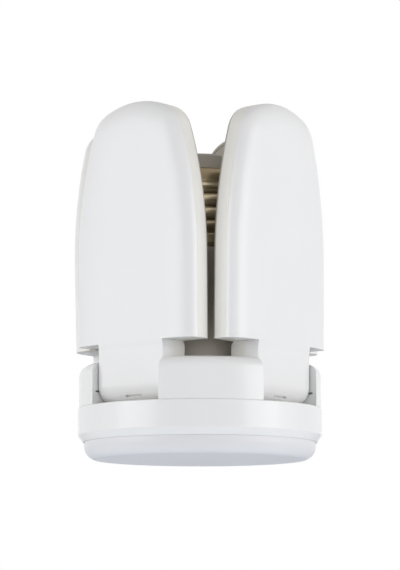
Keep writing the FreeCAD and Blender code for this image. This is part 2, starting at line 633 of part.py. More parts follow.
def main():
    os.makedirs("parts", exist_ok=True)
    put_out("lens_cover", lens_cover())
    put_out("lens_bezel", lens_bezel())
    put_out("hub_housing", hub_housing())
    put_out("hub_screws", *hub_screws())
    put_out("centre_led_board", centre_led_board())
    put_out("centre_leds", *centre_leds())
    put_out("driver_housing", driver_housing())
    put_out("driver_board", driver_board())
    put_out("driver_capacitor", driver_capacitor())
    put_out("driver_inductor", driver_inductor())
    put_out("cap_shell", cap_shell())
    put_out("cap_insulator", cap_insulator())
    put_out("cap_contact", cap_contact())
    put_out("hinge_pins", *hinge_rods(PIN_R))
    put_out("friction_washers", *friction_washers())
    leaf = {"diffuser": [leaf_diffuser()], "back_shell": [leaf_back_shell()],
            "led_board": [leaf_led_board()], "leds": leaf_leds(), "board_screws": leaf_screws()}
    for k in range(4):
        for piece, solids in leaf.items():
            put_out(f"leaf_{k + 1}_{piece}", *[as_leaf(k, solid) for solid in solids])


main()
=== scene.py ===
import json
import math

import bpy
from bpy.props import FloatProperty, FloatVectorProperty, PointerProperty
from bpy.types import Operator, Panel, PropertyGroup
from mathutils import Matrix, Vector


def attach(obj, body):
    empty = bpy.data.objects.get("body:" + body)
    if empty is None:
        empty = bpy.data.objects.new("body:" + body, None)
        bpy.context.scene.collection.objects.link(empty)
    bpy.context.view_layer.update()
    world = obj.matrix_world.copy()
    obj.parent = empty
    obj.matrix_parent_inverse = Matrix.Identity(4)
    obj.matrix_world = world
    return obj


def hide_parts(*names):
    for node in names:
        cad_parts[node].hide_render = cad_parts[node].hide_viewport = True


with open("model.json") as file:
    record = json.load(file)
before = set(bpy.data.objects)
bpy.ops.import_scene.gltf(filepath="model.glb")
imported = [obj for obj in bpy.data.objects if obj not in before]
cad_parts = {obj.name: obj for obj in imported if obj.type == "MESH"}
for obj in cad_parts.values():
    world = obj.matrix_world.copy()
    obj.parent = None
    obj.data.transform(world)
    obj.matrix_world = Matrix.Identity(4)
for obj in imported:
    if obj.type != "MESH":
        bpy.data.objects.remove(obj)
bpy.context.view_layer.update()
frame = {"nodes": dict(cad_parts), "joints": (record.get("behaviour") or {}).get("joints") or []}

bl_info = {
    "name": "Folding garage lamp",
    "version": (1, 0, 0),
    "blender": (4, 5, 0),
    "location": "View3D > Sidebar > Lamp",
    "description": "Shapes and finishes of a screw-in lamp with four folding leaves",
    "category": "Object",
}

# Pieces are drawn in millimetres and scaled to metres when they are finished.
# A leaf is drawn upright over +X: x runs out to its face, y across it and z up.
MM = 0.001
X_AXIS, Y_AXIS, Z_AXIS = Vector((1, 0, 0)), Vector((0, 1, 0)), Vector((0, 0, 1))
TINY = 0.002              # places nearer than this are one
NEAR = 0.01               # how far off an edge may lie and still be picked
ARC_STEP = 9.0            # degrees to one edge of a rounded corner
RING_STEPS = 160
ROD_SIDES = 48
SIDES = 4

BEZEL_R = 33.0
BEZEL_Z = 4.5
BEZEL_LIP_R = 31.4
CHAMFER_TOP = 6.4
DECK_Z = 13.6
LENS_R = 31.3
LENS_ROUND = 3.6
LENS_GROOVE = ((0.45, 0), (0.30, 0.16), (0.12, 0.16))     # in from the flat's edge, and up
LENS_WALL = 1.4
LENS_SKIRT_R = 31.9
LENS_RIM_Z = 10.3
LEDGE_Z = 6.0
BEZEL_BORE = 32.0
FLOOR_Z = 11.6
FLOOR_HOLE_R = 6.5
BLOCK_R = 32.8
BLOCK_BORE = 18.1
BLOCK_TOP = 24.9
BLOCK_ROUND = 2.8
BLOCK_STEPS = 48
CHEEK = 11.45
HINGE_R, HINGE_Z = 24.1, 18.6
KNUCKLE_R = 4.55
PIN_BORE = 1.62
PIN_SEAT = 4.2
SLIT = (2.9, 1.8, 0.5)    # long, deep, high
SLIT_REACH, SLIT_DROP = 3.9, 1.5          # its middle, outwards and down from the hinge axis

LEAF_FACE, LEAF_SEAM, LEAF_BACK = 28.9, 25.2, 20.6
LEAF_HALF = 20.3
LEAF_FOOT, LEAF_TOP = 29.5, 94.2
LEAF_STRAIGHT = 52.0
SIDE_ARC, SHOULDER_ARC, TIP_ARC = 115.0, 9.0, 25.0
LEAF_WALL = 1.5
BELOW_FOOT = 12           # drawn past the foot, to be cut off level with it
CUT_PAST = 0.5            # how far a hollow's cut starts outside the half it cuts
BACK_ROUND = 1.0
BACK_STEPS = 6
FOOT_ROUND = 0.9
CROWN_POWER = 2.5
CROWN_STEPS = 12
NECK_HALF = 11.1
NECK_TOP = 29.45
NECK_ROUND = 0.7
RAMP_STEPS, RAMP_OUT, RAMP_FOOT, RAMP_HIGH = 5, 0.235, 27.6, 2.0     # from the knuckle to the face
CHANNEL = (21.25, 26.95, 6.6, 17.0, 32.5)     # x from and to, half width, z from and to
LEAF_BORE = 1.65
NOTCH = (1.6, 5.4, 0.9)   # deep, long, high
NOTCH_ANGLE = 46.0        # how far below level it lies
BOARD_X = 22.6
PAD_R = 2.6
SCREW_ZS = (35.2, 58.4, 81.6)
VENT_HALF, VENT_R, VENT_PITCH, VENT_COUNT = 10.0, 0.9, 4.2, 4

CAP_R = 13.1
CAP_FOOT, CAP_SKIRT, CAP_STRAIGHT, CAP_MOUTH = 56.2, 59.6, 74.4, 78.4
CAP_MOUTH_R = 10.5
CAP_WALL = 0.4
CAP_COLUMNS, THREAD_ROWS, SHOULDER_ROWS = 144, 84, 14
THREAD_FADE_LOW, THREAD_FADE_HIGH = 0.9, 1.3      # heights over which the thread begins and ends
CREST_Z = 69.70           # height of the thread's crest over +X
# The second sets how strongly painted shade darkens the thread's creases.
CREASE_ROUND, CREASE_SHADE = 0.004, 1.25
INSULATOR_TOP = 82.4
PLUG_BORE, PLUG_R = 1.52, 9.88
RIVET_R = 1.5
CONTACT_R, CONTACT_TOP = 4.8, 83.2


# ---------------------------------------------------------------- drawing by hand

class Pen:
    """Draws a line through corners and arcs in edit mode, from a plane drawn together to one point."""

    def __init__(self, name, place):
        bpy.ops.object.select_all(action="DESELECT")
        bpy.ops.mesh.primitive_plane_add(size=1, location=place)
        self.piece = bpy.context.object
        self.piece.name = self.piece.data.name = name
        bpy.ops.object.transform_apply(location=True, rotation=False, scale=False)
        bpy.ops.object.mode_set(mode="EDIT")
        bpy.ops.mesh.select_mode(type="VERT")
        bpy.ops.mesh.select_all(action="SELECT")
        bpy.ops.mesh.merge(type="CENTER")
        self.at = Vector(place)

    def line(self, place):
        place = Vector(place)
        if (place - self.at).length > TINY:
            bpy.ops.mesh.extrude_region_move(TRANSFORM_OT_translate={"value": tuple(place - self.at)})
            self.at = place

    def arc(self, centre, turn, axis, steps):
        """Go round centre by turn radians, counter-clockwise about the axis."""
        centre = Vector(centre)
        bpy.ops.mesh.spin(steps=steps, angle=-turn, center=centre, axis=axis)
        self.at = Matrix.Rotation(turn, 3, axis) @ (self.at - centre) + centre

    def close(self):
        bpy.ops.mesh.select_all(action="SELECT")
        bpy.ops.mesh.remove_doubles(threshold=TINY)


def in_section(u, v):
    """A profile's place in the upright plane through the lamp's axis."""
    return Vector((u, 0, v))


def draw_profile(name, corners, closed=True, place=in_section):
    """Draw a line through (u, v, rounding) corners, left all selected in edit mode."""
    spots = [Vector(corner[:2]) for corner in corners]
    count = len(corners)
    pen = Pen(name, place(*spots[0]))
    for i in range(1, count + 1 if closed else count):
        here, rounding = spots[i % count], corners[i % count][2]
        if not rounding:
            pen.line(place(*here))
            continue
        back = (spots[i - 1] - here).normalized()
        ahead = (spots[(i + 1) % count] - here).normalized()
        half = back.angle(ahead) / 2
        turn = math.pi - 2 * half
        pen.line(place(*(here + back * (rounding / math.tan(half)))))
        centre = here + (back + ahead).normalized() * (rounding / math.sin(half))
        sign = -1 if back.cross(ahead) > 0 else 1
        steps = max(3, round(math.degrees(turn) / ARC_STEP))
        pen.arc(place(*centre), sign * turn, -Y_AXIS, steps)
    pen.close()
    return pen.piece


def close_skin():
    """Merge the edited mesh's doubles, point its faces outwards and leave edit mode."""
    bpy.ops.mesh.select_all(action="SELECT")
    bpy.ops.mesh.remove_doubles(threshold=TINY)
    bpy.ops.mesh.normals_make_consistent(inside=False)
    bpy.ops.object.mode_set(mode="OBJECT")


def spin_up(piece):
    """Spin the drawn profile about the lamp's axis into a closed skin."""
    bpy.ops.mesh.select_all(action="SELECT")
    bpy.ops.mesh.spin(steps=RING_STEPS, angle=2 * math.pi, center=(0, 0, 0), axis=Z_AXIS)
    close_skin()
    return piece


def turned(name, corners, closed=True):
    return spin_up(draw_profile(name, corners, closed))


def only(piece):
    """Select one object and make it the active one."""
    bpy.ops.object.select_all(action="DESELECT")
    piece.select_set(True)
    bpy.context.view_layer.objects.active = piece


def pick_edges(piece, wanted):
    """Select just the edges whose two ends pass the test, in edit mode."""
    only(piece)
    bpy.ops.object.mode_set(mode="EDIT")
    bpy.ops.mesh.select_mode(type="EDGE")
    bpy.ops.mesh.select_all(action="DESELECT")
    bpy.ops.object.mode_set(mode="OBJECT")
    places = [vertex.co for vertex in piece.data.vertices]
    for edge in piece.data.edges:
        edge.select = wanted(*(places[i] for i in edge.vertices))
    bpy.ops.object.mode_set(mode="EDIT")


def bevel_edges(piece, wanted, width, segments=3):
    pick_edges(piece, wanted)
    bpy.ops.mesh.bevel(offset=width, segments=segments, affect="EDGES", clamp_overlap=True)
    bpy.ops.object.mode_set(mode="OBJECT")


def cut_off(place, normal):
    """Cut away all behind a plane and fill the cut; the piece is in edit mode."""
    bpy.ops.mesh.select_all(action="SELECT")
    bpy.ops.mesh.bisect(plane_co=place, plane_no=normal, use_fill=True, clear_inner=True)


def apply(piece, kind, **settings):
    only(piece)
    modifier = piece.modifiers.new(kind, kind)
    for setting, value in settings.items():
        setattr(modifier, setting, value)
    bpy.ops.object.modifier_apply(modifier=modifier.name)


def combine(piece, tool, how):
    """Cut a tool from a piece, or add it, and drop the tool."""
    apply(piece, "BOOLEAN", object=tool, operation=how, solver="EXACT")
    bpy.data.objects.remove(tool, do_unlink=True)


def block(name, low, high):
    """A box between two corners, to cut with."""
    low, high = Vector(low), Vector(high)
    bpy.ops.object.select_all(action="DESELECT")
    bpy.ops.mesh.primitive_cube_add(size=1, location=(low + high) / 2, scale=high - low)
    piece = bpy.context.object
    piece.name = name
    bpy.ops.object.transform_apply(location=True, rotation=True, scale=True)
    return piece


def rod(name, radius, start, end):
    """A round bar between two places, to cut with or to add."""
    start, end = Vector(start), Vector(end)
    bpy.ops.object.select_all(action="DESELECT")
    bpy.ops.mesh.primitive_cylinder_add(
        vertices=ROD_SIDES, radius=radius, depth=(end - start).length, location=(start + end) / 2,
        rotation=(end - start).to_track_quat("Z", "Y").to_euler())
    piece = bpy.context.object
    piece.name = name
    bpy.ops.object.transform_apply(location=True, rotation=True, scale=True)
    return piece


def copy_of(piece, name, place):
    """A copy with its own mesh, moved by a matrix that is then taken into the mesh."""
    only(piece)
    bpy.ops.object.duplicate(linked=False)
    copy = bpy.context.object
    copy.name = copy.data.name = name
    copy.matrix_world = place
    bpy.ops.object.transform_apply(location=True, rotation=True, scale=True)
    return copy


def eased(share):
    """A share from 0 to 1, with a level start and end."""
    return share * share * (3 - 2 * share)


def finish_piece(piece, body, slot, material, *nodes, smooth=30.0, scale=MM):
    """Scale to metres, shade, finish and hang the piece on its body in place of its nodes.

    Where the material is None, the piece keeps those that its faces already have.
    """
    only(piece)
    piece.scale = (scale, scale, scale)
    bpy.ops.object.transform_apply(location=True, rotation=True, scale=True)
    bpy.ops.object.shade_smooth_by_angle(angle=math.radians(smooth))
    apply(piece, "WEIGHTED_NORMAL", keep_sharp=True)
    if material:
        piece.data.materials.clear()
        piece.data.materials.append(material)
    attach(piece, body)
    if nodes:
        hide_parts(*nodes)


# ---------------------------------------------------------------- finishes

def math_node(tree, operation, first, second):
    """A Math node on two values, each a number or another node's output."""
    node = tree.nodes.new("ShaderNodeMath")
    node.operation = operation
    for socket, value in zip(node.inputs, (first, second)):
        if isinstance(value, float):
            socket.default_value = value
        else:
            tree.links.new(value, socket)
    return node.outputs[0]


def surface_group():
    """Fine grain, slow mottling and a slightly uneven gloss, shared by all finishes."""
    group = bpy.data.node_groups.get("moulded_surface")
    if group:
        return group
    group = bpy.data.node_groups.new("moulded_surface", "ShaderNodeTree")
    for name, kind in (("Colour", "NodeSocketColor"), ("Roughness", "NodeSocketFloat"),
                       ("Grain Scale", "NodeSocketFloat"), ("Mottle Scale", "NodeSocketFloat"),
                       ("Mottle", "NodeSocketFloat"), ("Unevenness", "NodeSocketFloat"),
                       ("Grain Height", "NodeSocketFloat")):
        group.interface.new_socket(name=name, in_out="INPUT", socket_type=kind)
    for name, kind in (("Colour", "NodeSocketColor"), ("Roughness", "NodeSocketFloat"),
                       ("Normal", "NodeSocketVector")):
        group.interface.new_socket(name=name, in_out="OUTPUT", socket_type=kind)
    new, link = group.nodes.new, group.links.new
    given, out = new("NodeGroupInput"), new("NodeGroupOutput")
    place = new("ShaderNodeTexCoord")

    def noise(scale, detail):
        node = new("ShaderNodeTexNoise")
        node.inputs["Detail"].default_value = detail
        link(place.outputs["Object"], node.inputs["Vector"])
        link(given.outputs[scale], node.inputs["Scale"])
        return node.outputs["Fac"]

    grain, mottle = noise("Grain Scale", 5.0), noise("Mottle Scale", 3.0)
    lightness = math_node(group, "MULTIPLY", math_node(group, "SUBTRACT", mottle, 0.5),
                          given.outputs["Mottle"])
    tint = new("ShaderNodeHueSaturation")
    link(given.outputs["Colour"], tint.inputs["Color"])
    link(math_node(group, "ADD", lightness, 1.0), tint.inputs["Value"])
    link(tint.outputs["Color"], out.inputs["Colour"])
    uneven = math_node(group, "MULTIPLY", math_node(group, "SUBTRACT", grain, 0.5),
                       given.outputs["Unevenness"])
    link(math_node(group, "ADD", uneven, given.outputs["Roughness"]), out.inputs["Roughness"])
    bump = new("ShaderNodeBump")
    bump.inputs["Distance"].default_value = 0.05 * MM
    link(grain, bump.inputs["Height"])
    link(given.outputs["Grain Height"], bump.inputs["Strength"])
    link(bump.outputs["Normal"], out.inputs["Normal"])
    return group


def finish(name, colour, roughness, metallic=0.0, grain=1400.0, mottle=45.0, shade=0.04,
           uneven=0.10, height=0.25, gloss=0.5):
    """One material: the shared surface effect feeds its colour, roughness and normal."""
    material = bpy.data.materials.new(name)
    material.use_nodes = True
    tree = material.node_tree
    shader = tree.nodes["Principled BSDF"]
    effect = tree.nodes.new("ShaderNodeGroup")
    effect.node_tree = surface_group()
    effect.name = "surface"
    for socket, value in (("Colour", (*colour, 1.0)), ("Roughness", roughness), ("Grain Scale", grain),
                          ("Mottle Scale", mottle), ("Mottle", shade), ("Unevenness", uneven),
                          ("Grain Height", height)):
        effect.inputs[socket].default_value = value
    shader.inputs["Metallic"].default_value = metallic
    shader.inputs["Specular IOR Level"].default_value = gloss
    tree.links.new(effect.outputs["Colour"], shader.inputs["Base Color"])
    tree.links.new(effect.outputs["Roughness"], shader.inputs["Roughness"])
    tree.links.new(effect.outputs["Normal"], shader.inputs["Normal"])
    return material


def creased_metal(colour, crease_colour):
    """The cap's plated metal: rolling marks round it, which also stand in for painted highlight streaks
    on the thread, and painted shade where its crease attribute is high.
    """
    material = finish("plated_cap", colour, 0.34, metallic=0.60, grain=900.0, mottle=160.0, shade=0.25,
                      uneven=0.22, height=0.3)
    tree = material.node_tree
    place = tree.nodes.new("ShaderNodeTexCoord")
    # Streaks round the cap: rolling marks, which also stand in for the thread's painted highlight and
    # reflection lines.
    stretch = tree.nodes.new("ShaderNodeMapping")
    stretch.inputs["Scale"].default_value = (60.0, 60.0, 950.0)
    marks_and_reflections = tree.nodes.new("ShaderNodeTexNoise")
    marks_and_reflections.inputs["Scale"].default_value = 1.0
    marks_and_reflections.inputs["Detail"].default_value = 3.0
    tree.links.new(place.outputs["Object"], stretch.inputs["Vector"])
    tree.links.new(stretch.outputs["Vector"], marks_and_reflections.inputs["Vector"])
    streak_darkening = tree.nodes.new("ShaderNodeMapRange")
    for socket, value in (("From Min", 0.46), ("From Max", 0.60), ("To Max", 0.80)):
        streak_darkening.inputs[socket].default_value = value
    tree.links.new(marks_and_reflections.outputs["Fac"], streak_darkening.inputs["Value"])
    crease = tree.nodes.new("ShaderNodeAttribute")
    crease.attribute_name = "crease"
    mix = tree.nodes.new("ShaderNodeMixRGB")
    mix.inputs["Color1"].default_value = (*colour, 1.0)
    mix.inputs["Color2"].default_value = (*crease_colour, 1.0)
    # The darker of the crease attribute's painted shade and the streaks pulls the colour towards the
    # crease colour.
    shade_and_marks = math_node(tree, "MAXIMUM", crease.outputs["Fac"], streak_darkening.outputs["Result"])
    tree.links.new(shade_and_marks, mix.inputs["Fac"])
    tree.links.new(mix.outputs["Color"], tree.nodes["surface"].inputs["Colour"])
    return material


# ---------------------------------------------------------------- sizes and colours

def length(name, description, default, low, high):
    return FloatProperty(name=name, description=description, default=default, min=low, max=high,
                         unit="LENGTH", subtype="DISTANCE", precision=5)


def colour(name, description, default):
    return FloatVectorProperty(name=name, description=description, default=default, min=0.0, max=1.0,
                               size=3, subtype="COLOR")


class LampSizes(PropertyGroup):
    """Sizes of the looks that a user may change; the rest follows the frame."""

    crown_width: length("Crown width", "How far in from its outline a leaf's face falls off",
                        8.1 * MM, 2 * MM, 8.5 * MM)
    lens_flat: length("Lens flat", "Radius of the lens's flat underside", 28.7 * MM, 20 * MM, 29 * MM)
    block_edge: length("Block edge", "Rounding of the wall blocks' upright edges",
                       0.6 * MM, 0.1 * MM, 1.0 * MM)
    parting: length("Parting groove", "Width of each side of the groove between two halves",
                    0.08 * MM, 0.02 * MM, 0.3 * MM)
    thread_pitch: length("Thread pitch", "Height of one turn of the cap's thread",
                         3.629 * MM, 2 * MM, 5 * MM)
    thread_depth: length("Thread depth", "Crest to crease of the cap's thread",
                         0.95 * MM, 0.2 * MM, 0.95 * MM)


class LampColours(PropertyGroup):
    """Colours of the finishes."""

    leaf: colour("Leaf", "Frosted fronts of the leaves", (0.885, 0.88, 0.878))
    lens: colour("Lens", "Frosted lens under the hub", (0.79, 0.79, 0.805))
    hub: colour("Hub", "Hub ring and wall blocks", (0.875, 0.862, 0.865))
    shell: colour("Leaf back", "Side walls and necks of the leaves' back halves", (0.885, 0.87, 0.825))
    # The back plate's darker grey-brown is partly the back's own grey and partly painted shade for the
    # inward faces, which sit between the leaves.
    plate: colour("Back plate", "Vented back of each leaf", (0.45, 0.415, 0.36))
    column: colour("Column", "Driver column", (0.72, 0.67, 0.59))
    metal: colour("Cap", "Screw cap's metal", (0.95, 0.82, 0.57))
    # The crease colour is painted shade for the thread's creases; the shoulder and skirt are darkened
    # towards it too.
    crease: colour("Creases", "Dirt in the thread's creases", (0.28, 0.21, 0.115))
    insulator: colour("Insulator", "Ring between cap and contact", (0.84, 0.80, 0.72))


# ---------------------------------------------------------------- pieces of the hub

class LAMP_OT_lens(Operator):
    """Model the frosted lens: a shallow cup with a flat underside and a crisp edge round it"""

    bl_idname = "lamp.lens"
    bl_label = "Lens"

    def execute(self, context):
        flat = context.scene.lamp_sizes.lens_flat / MM
        centre_r = LENS_R - LENS_ROUND
        centre_z = math.sqrt(LENS_ROUND ** 2 - (flat - centre_r) ** 2)
        pen = Pen("lens", (0, 0, 0))
        for inwards, z in LENS_GROOVE:
            pen.line((flat - inwards, 0, z))
        pen.line((flat, 0, 0))
        pen.arc((centre_r, 0, centre_z), math.atan2(centre_z, flat - centre_r), -Y_AXIS, 14)
        for r, z in ((LENS_R, LEDGE_Z), (LENS_SKIRT_R, LEDGE_Z), (LENS_SKIRT_R, LENS_RIM_Z),
                     (LENS_R - LENS_WALL, LENS_RIM_Z), (LENS_R - LENS_WALL, 3.0), (flat - 0.2, LENS_WALL),
                     (0, LENS_WALL)):
            pen.line((r, 0, z))
        frosted = finish("frosted_lens", context.scene.lamp_colours.lens, 0.42, shade=0.03, gloss=0.4)
        finish_piece(spin_up(pen.piece), "hub", "frosted_lens", frosted, "lens_cover", smooth=12.0)
        return {"FINISHED"}


class LAMP_OT_bezel(Operator):
    """Turn the white ring round the lens, with its chamfered foot and softened edges"""

    bl_idname = "lamp.bezel"
    bl_label = "Bezel ring"

    def execute(self, context):
        ring = turned("bezel", [(BEZEL_LIP_R, BEZEL_Z, 0), (BEZEL_LIP_R + 0.3, BEZEL_Z, 0.12),
                                (BEZEL_R, CHAMFER_TOP, 0.6), (BEZEL_R, DECK_Z, 0.35),
                                (BEZEL_BORE, DECK_Z, 0), (BEZEL_BORE, LEDGE_Z, 0),
                                (BEZEL_LIP_R, LEDGE_Z, 0)])
        finish_piece(ring, "hub", "hub_white", hub_finish(), "lens_bezel")
        return {"FINISHED"}


def hub_finish():
    """The hub's white, shared by the bezel ring and the hub."""
    material = bpy.data.materials.get("hub_white")
    if material:
        return material
    return finish("hub_white", bpy.context.scene.lamp_colours.hub, 0.38, shade=0.03, gloss=0.45)


def wall_block(edge):
    """One wall block between two leaves: part of a turned ring, cut off level with both cheeks."""
    piece = draw_profile("wall_block", [(BLOCK_BORE, DECK_Z, 0), (BLOCK_R, DECK_Z, 0),
                                        (BLOCK_R, BLOCK_TOP, BLOCK_ROUND), (BLOCK_BORE, BLOCK_TOP, 0.4)])
    bpy.ops.mesh.select_all(action="SELECT")
    bpy.ops.mesh.spin(steps=BLOCK_STEPS, angle=-math.pi / 2, center=(0, 0, 0), axis=Z_AXIS)
    for normal in (X_AXIS, Y_AXIS):
        cut_off(normal * CHEEK, normal)
    close_skin()

    def on_rim(a, b):
        for i in (0, 1):
            if abs(a[i] - CHEEK) < NEAR and abs(b[i] - CHEEK) < NEAR:
                return max(a.z, b.z) > DECK_Z + NEAR
        return False

    bevel_edges(piece, on_rim, edge)
    long, deep, high = SLIT
    for turn in (0, 1):
        def place(x, y, z):
            return (y, x, z) if turn else (x, y, z)
        combine(piece, rod("bore", PIN_BORE, place(HINGE_R, CHEEK - 1, HINGE_Z),
                           place(HINGE_R, CHEEK + PIN_SEAT, HINGE_Z)), "DIFFERENCE")
        middle, level = HINGE_R + SLIT_REACH, HINGE_Z - SLIT_DROP
        combine(piece, block("slit", place(middle - long / 2, CHEEK - 1, level - high / 2),
                             place(middle + long / 2, CHEEK + deep, level + high / 2)), "DIFFERENCE")
    return piece


class LAMP_OT_hub(Operator):
    """Model the hub's floor and its four wall blocks with the pins' bores and the cheeks' slits"""

    bl_idname = "lamp.hub"
    bl_label = "Hub"

    def execute(self, context):
        floor = turned("hub", [(FLOOR_HOLE_R, FLOOR_Z, 0), (LENS_SKIRT_R, FLOOR_Z, 0),
                               (LENS_SKIRT_R, DECK_Z, 0.15), (FLOOR_HOLE_R, DECK_Z, 0.3)])
        first = wall_block(context.scene.lamp_sizes.block_edge / MM)
        blocks = [copy_of(first, "wall_block", Matrix.Rotation(math.pi / 2 * k, 4, "Z"))
                  for k in range(1, SIDES)]
        only(floor)
        for piece in [first] + blocks:
            piece.select_set(True)
        bpy.ops.object.join()
        finish_piece(floor, "hub", "hub_white", hub_finish(), "hub_housing")
        return {"FINISHED"}


class LAMP_OT_column(Operator):
    """Merge and smooth a copy of the driver column's own mesh, and dress it"""

    bl_idname = "lamp.column"
    bl_label = "Driver column"

    def execute(self, context):
        only(frame["nodes"]["driver_housing"])
        bpy.ops.object.duplicate(linked=False)
        column = bpy.context.object
        column.name = column.data.name = "column"
        column.parent = None
        bpy.ops.object.mode_set(mode="EDIT")
        bpy.ops.mesh.select_all(action="SELECT")
        bpy.ops.mesh.remove_doubles(threshold=TINY * MM)
        bpy.ops.object.mode_set(mode="OBJECT")
        grey = finish("column_grey", context.scene.lamp_colours.column, 0.5, shade=0.10, height=0.35)
        finish_piece(column, "hub", "column_grey", grey, "driver_housing", smooth=25.0, scale=1.0)
        return {"FINISHED"}


# ---------------------------------------------------------------- screw cap

def cap_rows():
    """The cap's side from foot to mouth: (height, radius, share of the thread) for each row."""
    crest_r = CAP_R - 0.02
    rows = [(CAP_FOOT, CAP_R - 0.25, 0.0), (CAP_FOOT + 0.25, CAP_R - 0.05, 0.0),
            (CAP_SKIRT - 1.6, CAP_R - 0.05, 0.0)]
    for i in range(THREAD_ROWS + 1):
        z = CAP_SKIRT + (CAP_STRAIGHT - CAP_SKIRT) * i / THREAD_ROWS
        rows.append((z, crest_r, eased(min(1.0, (z - CAP_SKIRT) / THREAD_FADE_LOW,
                                           (CAP_STRAIGHT - z) / THREAD_FADE_HIGH))))
    for i in range(1, SHOULDER_ROWS + 1):
        turn = math.pi / 2 * i / SHOULDER_ROWS
        rows.append((CAP_STRAIGHT + (CAP_MOUTH - CAP_STRAIGHT) * math.sin(turn),
                     CAP_MOUTH_R + (crest_r - CAP_MOUTH_R) * math.cos(turn), 0.0))
    return rows


def end_darkening(z):
    """How far the cap's colour goes over to the crease colour at height z: not at all on the thread, most
    on its shoulder, a little on its skirt.
    """
    return max(0.0, min(0.92, (z - CAP_STRAIGHT + 1.0) / 1.6), min(0.25, (CAP_SKIRT + 0.4 - z) / 1.2))


class LAMP_OT_cap(Operator):
    """Roll a grid into the screw cap with its right-hand thread"""

    bl_idname = "lamp.cap"
    bl_label = "Screw cap"

    def execute(self, context):
        sizes, colours = context.scene.lamp_sizes, context.scene.lamp_colours
        pitch, depth = sizes.thread_pitch / MM, sizes.thread_depth / MM
        rows = cap_rows()
        bpy.ops.object.select_all(action="DESELECT")
        bpy.ops.mesh.primitive_grid_add(x_subdivisions=CAP_COLUMNS, y_subdivisions=len(rows) - 1, size=1)
        shell = bpy.context.object
        shell.name = shell.data.name = "cap"
        crease = shell.data.attributes.new("crease", "FLOAT", "POINT")
        for i, vertex in enumerate(shell.data.vertices):
            turn = 2 * math.pi * (vertex.co.x + 0.5)
            z, radius, share = rows[round((vertex.co.y + 0.5) * (len(rows) - 1))]
            phase = math.cos(math.pi * ((z - CREST_Z) / pitch - turn / (2 * math.pi)))
            sunk = share * max(0.0, 1 - math.sqrt(phase ** 2 + CREASE_ROUND))
            radius -= depth * sunk
            vertex.co = (radius * math.cos(turn), radius * math.sin(turn), z)
            # The crease attribute is painted shade, deepest in the thread's creases, together with the
            # darker shoulder and skirt.
            crease.data[i].value = max(min(1.0, sunk * sunk * CREASE_SHADE), end_darkening(z))
        only(shell)
        bpy.ops.object.mode_set(mode="EDIT")
        close_skin()
        apply(shell, "SOLIDIFY", thickness=CAP_WALL, offset=-1.0, use_even_offset=True)
        finish_piece(shell, "hub", "cap_metal", creased_metal(colours.metal, colours.crease), "cap_shell",
                     smooth=40.0)
        return {"FINISHED"}


class LAMP_OT_insulator(Operator):
    """Turn the insulator that stands in the cap's mouth, with a shallow round recess in its top"""

    bl_idname = "lamp.insulator"
    bl_label = "Insulator"

    def execute(self, context):
        foot, top, hollow = CAP_MOUTH - 4.2, INSULATOR_TOP, INSULATOR_TOP - 0.5
        plug = turned("insulator", [(PLUG_BORE, foot, 0), (PLUG_R, foot, 0), (PLUG_R, CAP_MOUTH, 0),
                                    (CAP_MOUTH_R, CAP_MOUTH, 0.15), (CAP_MOUTH_R, top, 0.8),
                                    (7.2, top, 0.3), (6.6, hollow, 0.3), (5.4, hollow, 0.3),
                                    (4.9, top, 0), (PLUG_BORE, top, 0)])
        grey = finish("insulator_grey", context.scene.lamp_colours.insulator, 0.48, shade=0.12,
                      height=0.4)
        finish_piece(plug, "hub", "insulator_grey", grey, "cap_insulator")
        return {"FINISHED"}


class LAMP_OT_contact(Operator):
    """Turn the end contact with its rivet"""

    bl_idname = "lamp.contact"
    bl_label = "End contact"

    def execute(self, context):
        foot, dimple = INSULATOR_TOP - 6.0, CONTACT_TOP - 0.35
        contact = turned("contact", [(0, foot, 0), (RIVET_R, foot, 0.2), (RIVET_R, INSULATOR_TOP, 0),
                                     (CONTACT_R, INSULATOR_TOP, 0.15), (CONTACT_R, CONTACT_TOP, 0.5),
                                     (2.0, CONTACT_TOP, 0.15), (1.6, dimple, 0.15), (0, dimple, 0)],
                         closed=False)
        brass = finish("contact_brass", (0.66, 0.48, 0.22), 0.3, metallic=1.0, mottle=300.0, shade=0.2,
                       uneven=0.2)
        finish_piece(contact, "hub", "contact_brass", brass, "cap_contact")
        return {"FINISHED"}


# ---------------------------------------------------------------- leaves

def leaf_plate(name, x, inset, low):
    """The leaf's outline drawn at x and filled with one face, left selected in edit mode."""
    side_c = Vector((x, LEAF_HALF - SIDE_ARC, LEAF_STRAIGHT))
    tip_c = Vector((x, 0, LEAF_TOP - TIP_ARC))
    gap = (tip_c - side_c).length
    near, far = SIDE_ARC - SHOULDER_ARC, TIP_ARC - SHOULDER_ARC
    along = (near ** 2 - far ** 2 + gap ** 2) / (2 * gap)
    way = (tip_c - side_c).normalized()
    across = X_AXIS.cross(way)
    shoulder_c = side_c + way * along + across * math.sqrt(near ** 2 - along ** 2)
    first = math.atan2(shoulder_c.z - side_c.z, shoulder_c.y - side_c.y)
    second = math.atan2(shoulder_c.z - tip_c.z, shoulder_c.y - tip_c.y)
    half = LEAF_HALF - inset
    pen = Pen(name, (x, half, low))
    pen.line((x, half, LEAF_STRAIGHT))
    pen.arc(side_c, first, X_AXIS, 12)
    pen.arc(shoulder_c, second - first, X_AXIS, 14)
    pen.arc(tip_c, math.pi - 2 * second, X_AXIS, 18)
    for centre, turn, steps in ((shoulder_c, second - first, 14), (side_c, first, 12)):
        pen.arc((x, -centre.y, centre.z), turn, X_AXIS, steps)
    pen.line((x, -half, low))
    pen.close()
    bpy.ops.mesh.edge_face_add()
    return pen.piece


